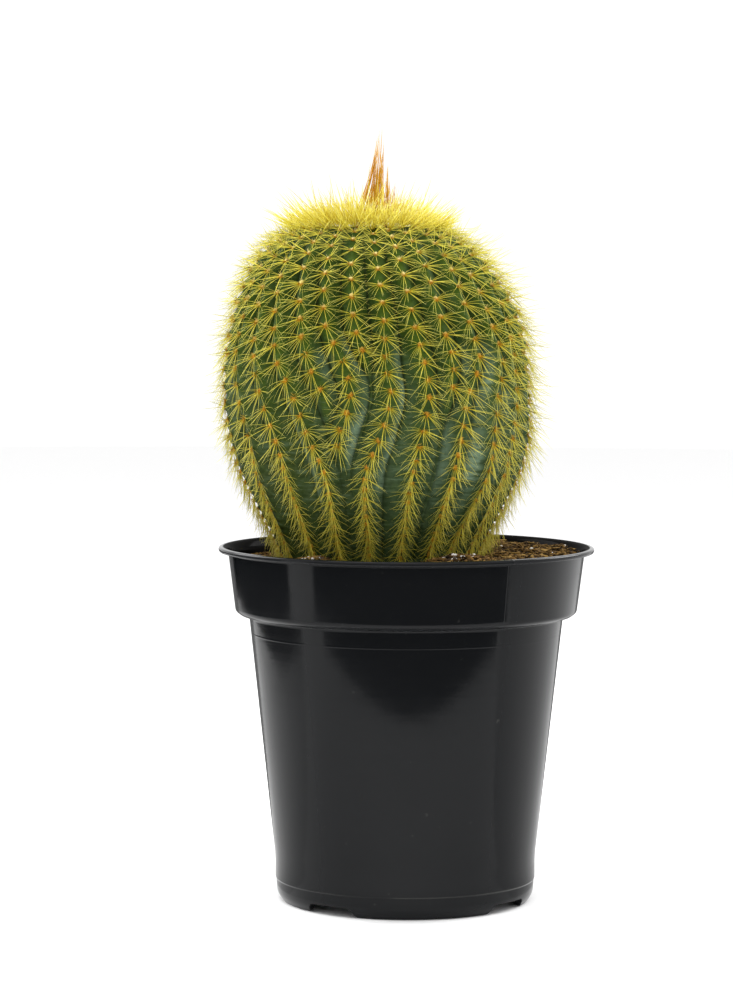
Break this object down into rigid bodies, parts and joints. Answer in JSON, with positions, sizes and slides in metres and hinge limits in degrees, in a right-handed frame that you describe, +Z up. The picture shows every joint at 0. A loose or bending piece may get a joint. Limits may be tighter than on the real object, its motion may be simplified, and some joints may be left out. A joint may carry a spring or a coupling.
{
  "type": "potted round cactus",
  "caption": "Round ribbed ball cactus with golden spines and an orange crown tuft, in a black plastic grower's pot with a wide collar, notched foot and coir potting mix.",
  "frame": {"origin": "centre of the ring that the pot stands on, on the pot's axis", "axes": "+Z up; the pot's axis is Z, -Y is the plant's front, +X its right as seen from the front"},
  "size_m": [0.1739, 0.17, 0.345],
  "materials": {
    "pot": "glossy black injection-moulded polypropylene with faint turning marks",
    "soil": "coir fibre and bark chips, matt",
    "perlite": "white porous grains",
    "skin": "waxy green skin with a blue-grey bloom",
    "spines": "golden-yellow spines, translucent and satin",
    "areoles": "short brown-gold felt",
    "crown": "lemon-yellow spines in pale wool",
    "wool": "pale cream wool",
    "tuft": "orange-brown spines, satin"
  },
  "bodies": {
    "root": {"pot": "pot", "potting_soil": "soil", "cactus_body": "skin", "crown_spines": "crown", "crown_tuft": "tuft"}
  },
  "joints": []
}
